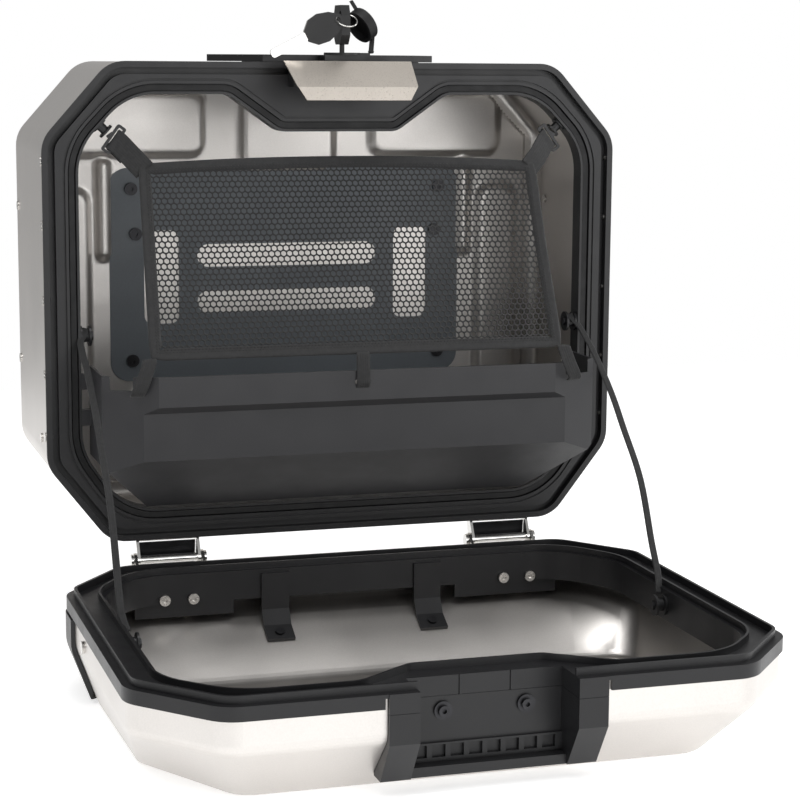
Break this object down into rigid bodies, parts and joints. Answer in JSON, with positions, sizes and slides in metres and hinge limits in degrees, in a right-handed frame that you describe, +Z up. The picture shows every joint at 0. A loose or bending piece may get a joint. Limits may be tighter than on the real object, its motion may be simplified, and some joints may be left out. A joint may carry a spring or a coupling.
{
  "type": "motorcycle luggage case",
  "caption": "Hard sheet-metal motorcycle case on end, its faceted lid hanging open on two hinges and check straps, with cargo net, pocket and key latch.",
  "frame": {"origin": "centre of the outer face of the docking plate on the back of the case", "axes": "+Z up along the case as it stands, -Y towards the opening and the open lid, +X to the right seen from the opening"},
  "size_m": [0.5278, 0.6375, 0.5819],
  "materials": {
    "case_aluminium": "satin, brushed sheet",
    "black_plastic": "satin moulded",
    "bin_plastic": "matt moulded",
    "rubber": "matt",
    "steel": "brushed",
    "polished_steel": "polished",
    "warm_steel": "brushed",
    "chrome": "polished",
    "slate_plate": "powder coat",
    "black_steel": "black",
    "webbing": "woven",
    "net": "knitted",
    "key_plastic": "satin"
  },
  "bodies": {
    "case": {"body_shell": "case_aluminium", "body_frame": "black_plastic", "body_seal": "rubber", "body_rivets": "steel", "docking_plate": "black_plastic", "backing_plate": "slate_plate", "backing_screws": "black_steel", "storage_bin": "bin_plastic", "bin_screws": "black_steel", "cargo_net": "net", "net_binding": "webbing", "net_lower_straps": "webbing", "net_upper_straps": "webbing", "net_hooks": "black_plastic", "net_spools": "black_plastic", "strap_anchors_body": "black_plastic", "strap_anchor_screws": "black_steel", "check_strap_left": "webbing", "check_strap_right": "webbing", "hinge_leaf_body_left": "polished_steel", "hinge_leaf_body_right": "polished_steel", "hinge_pin_left": "polished_steel", "hinge_pin_right": "polished_steel", "hinge_rivets_body": "steel", "latch_housing": "black_plastic", "latch_pin": "polished_steel", "lock_bezel": "chrome", "lock_cap_ring": "rubber"},
    "lid": {"lid_shell": "case_aluminium", "lid_frame": "black_plastic", "lid_grip_cover": "black_plastic", "grip_screws": "black_steel", "lid_braces": "black_plastic", "brace_screws": "black_steel", "strap_spools_lid": "black_plastic", "spool_screws": "black_steel", "corner_guards": "black_plastic", "lid_side_bolts": "black_steel", "drain_eyelets": "black_steel", "hinge_leaf_lid_left": "polished_steel", "hinge_leaf_lid_right": "polished_steel", "hinge_bolts_lid": "polished_steel"},
    "latch_flap": {"latch_cover": "warm_steel"},
    "barrel": {"lock_barrel": "chrome"},
    "keys": {"key_in_lock": "key_plastic", "key_ring": "chrome", "spare_key": "key_plastic"},
    "dust_cap": {"lock_cap": "rubber"}
  },
  "joints": [
    {"name": "lid_hinge", "type": "hinge", "parent": "case", "child": "lid", "pos_m": [0, -0.198, -0.2285], "axis": [-1, 0, 0], "range_deg": [0, 90], "deforming": ["check_strap_left", "check_strap_right"]},
    {"name": "latch_hinge", "type": "hinge", "parent": "case", "child": "latch_flap", "pos_m": [0, -0.226, 0.2045], "axis": [-1, 0, 0], "range_deg": [0, 50]},
    {"name": "lock_turn", "type": "hinge", "parent": "case", "child": "barrel", "pos_m": [0, -0.2078, 0.2], "axis": [0, 0, 1], "range_deg": [0, 90]},
    {"name": "key_slide", "type": "slide", "parent": "barrel", "child": "keys", "axis": [0, 0, 1], "range_m": [0, 0.03]},
    {"name": "cap_hinge", "type": "hinge", "parent": "case", "child": "dust_cap", "pos_m": [0.031, -0.193, 0.22], "axis": [0, 1, 0], "range_deg": [0, 70]}
  ]
}
